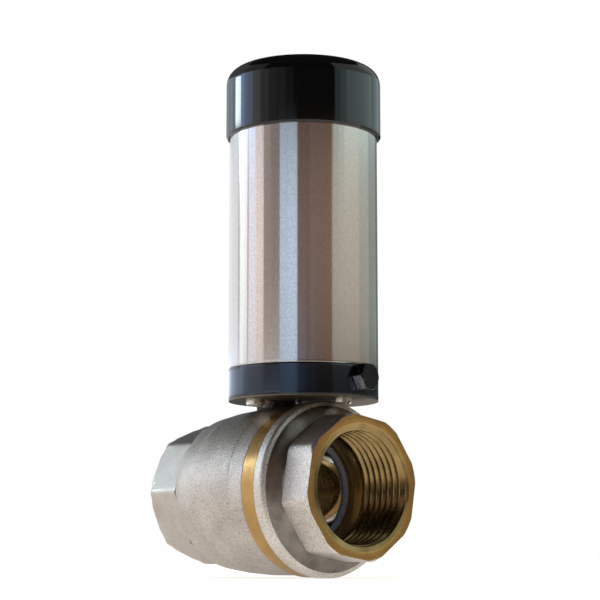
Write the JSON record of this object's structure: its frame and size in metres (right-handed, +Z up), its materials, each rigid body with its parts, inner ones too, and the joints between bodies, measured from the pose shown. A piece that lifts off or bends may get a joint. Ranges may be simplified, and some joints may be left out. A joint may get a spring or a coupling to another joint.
{
  "type": "motorized ball valve",
  "caption": "Two-piece plated brass ball valve with female G1 pipe threads and an upright motor drive in a stainless steel tube with a black collar and lid.",
  "frame": {"origin": "centre of the inlet end on the pipe axis; the inlet port's thread begins 0.8 mm inside that face", "axes": "+X runs along the pipe axis from the inlet to the outlet, +Z points up along the valve's stem to the drive, +Y completes a right-handed frame"},
  "size_m": [0.07, 0.0484, 0.1442],
  "materials": {
    "plated_brass": "satin nickel plating over sand-blasted forged brass",
    "brass": "turned brass",
    "seat_plastic": "filled PTFE, dark",
    "rubber": "moulded nitrile rubber",
    "stainless_tube": "satin drawn stainless steel",
    "zinc_steel": "zinc-plated steel",
    "black_metal": "satin black anodised",
    "gloss_black_plastic": "glossy black moulded ABS",
    "ground_steel": "ground steel",
    "circuit_board_green": "green solder mask on glass epoxy",
    "black_component": "moulded epoxy",
    "gear_brass": "hobbed brass",
    "gear_steel": "hobbed steel",
    "magnet_black": "ferrite",
    "motor_steel": "bright zinc-plated drawn steel",
    "lamination_steel": "stacked electrical steel",
    "motor_plastic": "natural nylon",
    "copper": "enamelled copper",
    "carbon": "pressed carbon",
    "tinned_brass": "tinned brass",
    "sintered_bronze": "oiled sintered bronze",
    "relay_blue": "moulded relay case",
    "terminal_green": "moulded nylon"
  },
  "bodies": {
    "housing": {"valve_body": "plated_brass", "end_cap": "plated_brass", "mounting_nut": "brass", "output_bush_lower": "brass", "output_bush_upper": "brass", "gear_sleeves": "brass", "seat_ring_inlet": "seat_plastic", "seat_ring_outlet": "seat_plastic", "stem_thrust_washer": "seat_plastic", "end_cap_o_ring": "rubber", "collar_o_ring": "rubber", "top_cover_o_ring": "rubber", "cable_grommet": "rubber", "housing_tube": "stainless_tube", "base_plate": "zinc_steel", "base_screws": "zinc_steel", "vent_screw": "zinc_steel", "gearbox_screws": "zinc_steel", "motor_screws": "zinc_steel", "board_screws": "zinc_steel", "lower_spacers": "zinc_steel", "upper_spacers": "zinc_steel", "gearbox_pillars": "zinc_steel", "board_standoffs": "zinc_steel", "collar": "black_metal", "collar_bolt": "black_metal", "top_cover": "gloss_black_plastic", "locating_pin": "ground_steel", "gear_arbors": "ground_steel", "gearbox_lower_plate": "ground_steel", "gearbox_upper_plate": "ground_steel", "sensor_board": "circuit_board_green", "circuit_board": "circuit_board_green", "hall_sensors": "black_component", "capacitor": "black_component", "motor_magnets": "magnet_black", "motor_can": "motor_steel", "motor_end_bell": "motor_plastic", "brush_arms": "copper", "motor_brushes": "carbon", "motor_terminals": "tinned_brass", "motor_bushes": "sintered_bronze", "relay": "relay_blue", "terminal_block": "terminal_green"},
    "valve_drive": {"ball": "brass", "stem": "brass", "stem_o_ring_lower": "rubber", "stem_o_ring_upper": "rubber", "output_shaft": "ground_steel", "output_gear": "gear_steel", "position_magnet": "magnet_black"},
    "gear_4": {"compound_gear_4": "gear_brass"},
    "gear_3": {"compound_gear_3": "gear_brass"},
    "gear_2": {"compound_gear_2": "gear_brass"},
    "gear_1": {"compound_gear_1": "gear_brass"},
    "motor_rotor": {"motor_shaft": "ground_steel", "motor_pinion": "gear_brass", "armature_core": "lamination_steel", "armature_windings": "copper", "commutator": "copper"}
  },
  "joints": [
    {"name": "motor_turn", "type": "hinge", "parent": "housing", "child": "motor_rotor", "pos_m": [0.05031, 0.00359, 0.045], "axis": [0, 0, 1], "range_deg": [0, 18225]},
    {"name": "gear_1_turn", "type": "hinge", "parent": "housing", "child": "gear_1", "pos_m": [0.05336, -0.00551, 0.045], "axis": [0, 0, 1], "range_deg": [-6075, 0]},
    {"name": "gear_2_turn", "type": "hinge", "parent": "housing", "child": "gear_2", "pos_m": [0.0455, 0, 0.045], "axis": [0, 0, 1], "range_deg": [0, 2025]},
    {"name": "gear_3_turn", "type": "hinge", "parent": "housing", "child": "gear_3", "pos_m": [0.05336, -0.00551, 0.045], "axis": [0, 0, 1], "range_deg": [-675, 0]},
    {"name": "gear_4_turn", "type": "hinge", "parent": "housing", "child": "gear_4", "pos_m": [0.0455, 0, 0.045], "axis": [0, 0, 1], "range_deg": [0, 225]},
    {"name": "valve_turn", "type": "hinge", "parent": "housing", "child": "valve_drive", "pos_m": [0.035, 0, 0.045], "axis": [0, 0, 1], "range_deg": [-90, 0]}
  ],
  "couplings": [
    {"joint": "gear_1_turn", "follows": "motor_turn", "ratio": -0.33333},
    {"joint": "gear_2_turn", "follows": "motor_turn", "ratio": 0.11111},
    {"joint": "gear_3_turn", "follows": "motor_turn", "ratio": -0.037037},
    {"joint": "gear_4_turn", "follows": "motor_turn", "ratio": 0.012346},
    {"joint": "valve_turn", "follows": "motor_turn", "ratio": -0.0049383}
  ]
}
